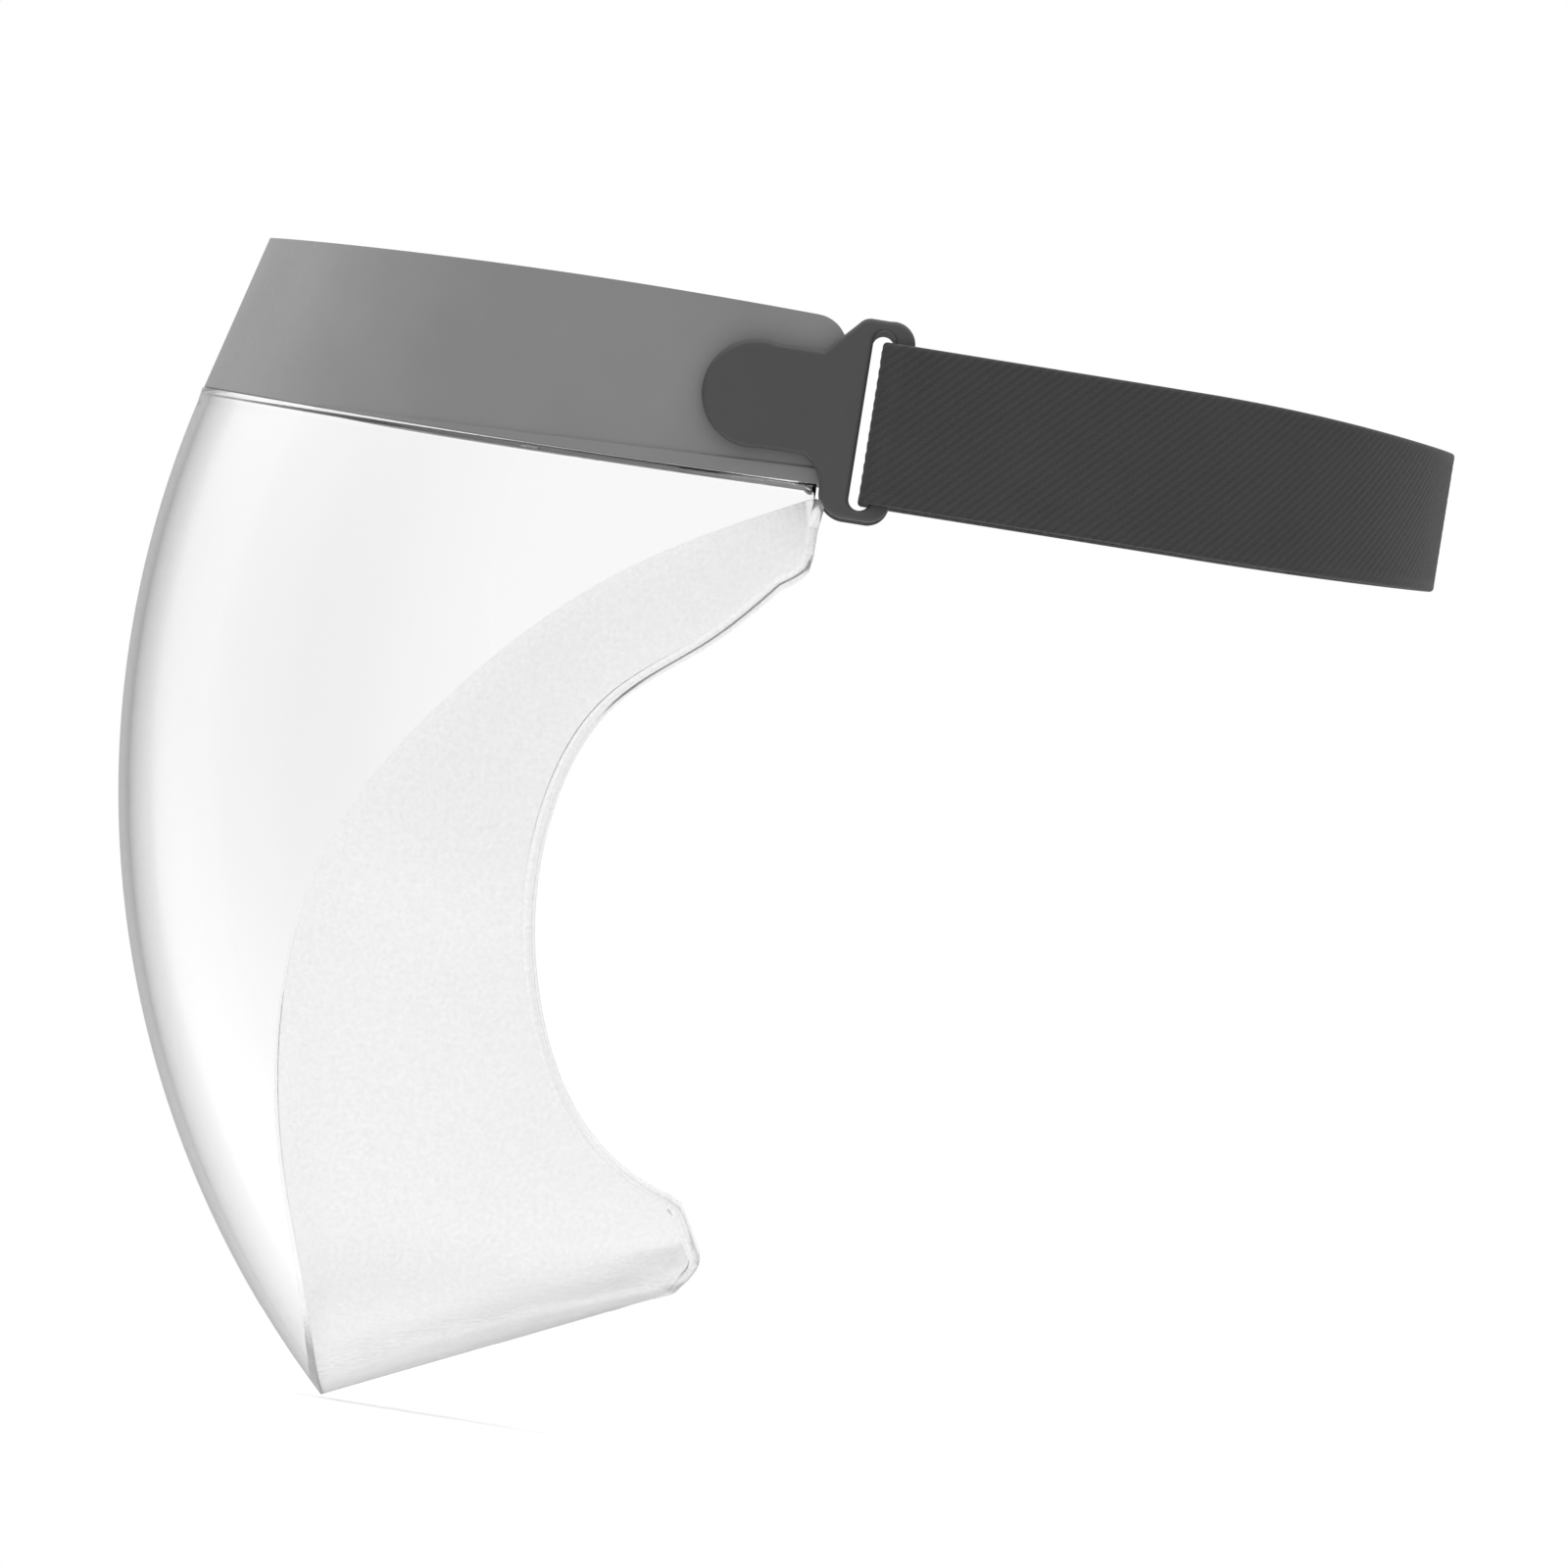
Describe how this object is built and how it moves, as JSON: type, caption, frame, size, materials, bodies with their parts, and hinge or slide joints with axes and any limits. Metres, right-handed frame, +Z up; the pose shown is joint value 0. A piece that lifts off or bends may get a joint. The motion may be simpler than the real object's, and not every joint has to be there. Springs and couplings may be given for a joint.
{
  "type": "clear face visor with headband and elastic strap",
  "caption": "Curved clear full-face visor with a soft face skirt, rigid headband with brow pad, and an elastic head strap on two swivelling side buckles.",
  "frame": {"origin": "midway between the two buckle pivots, on the middle plane", "axes": "-Y the way the wearer looks, +X the wearer's left, +Z up, square to the headband's plane"},
  "size_m": [0.1694, 0.251, 0.2251],
  "materials": {
    "clear_window": "clear polished polycarbonate",
    "skirt_film": "soft translucent, faintly frosted",
    "seal_bead": "soft translucent bead",
    "headband_plastic": "satin mid grey, fine grain",
    "gasket_rubber": "matt grey",
    "retainer_plastic": "matt grey",
    "screw_steel": "bright zinc",
    "hook_loop": "black hook and loop pile",
    "brow_foam": "dark grey cloth-faced foam",
    "buckle_plastic": "satin dark grey",
    "washer_nylon": "natural nylon",
    "webbing": "charcoal twill elastic webbing"
  },
  "bodies": {
    "visor": {"lens_window": "clear_window", "face_skirt": "skirt_film", "skirt_edge_seal": "seal_bead", "headband": "headband_plastic", "lens_gasket": "gasket_rubber", "lens_retainer": "retainer_plastic", "retainer_screws": "screw_steel", "pad_backing": "hook_loop", "brow_pad": "brow_foam"},
    "left_harness": {"left_buckle": "buckle_plastic", "left_pivot_screw": "screw_steel", "left_friction_washer": "washer_nylon", "elastic_strap": "webbing", "left_hook_patch": "hook_loop", "left_loop_patch": "hook_loop", "right_hook_patch": "hook_loop", "right_loop_patch": "hook_loop"},
    "right_swivel": {"right_buckle": "buckle_plastic", "right_pivot_screw": "screw_steel", "right_friction_washer": "washer_nylon"}
  },
  "joints": [
    {"name": "left_buckle_pivot", "type": "hinge", "parent": "visor", "child": "left_harness", "pos_m": [0.0788, 0, 0], "axis": [1, 0, 0], "range_deg": [-12, 12]},
    {"name": "right_buckle_pivot", "type": "hinge", "parent": "visor", "child": "right_swivel", "pos_m": [-0.0788, 0, 0], "axis": [1, 0, 0], "range_deg": [-12, 12]}
  ],
  "couplings": [
    {"joint": "right_buckle_pivot", "follows": "left_buckle_pivot", "ratio": 1}
  ]
}
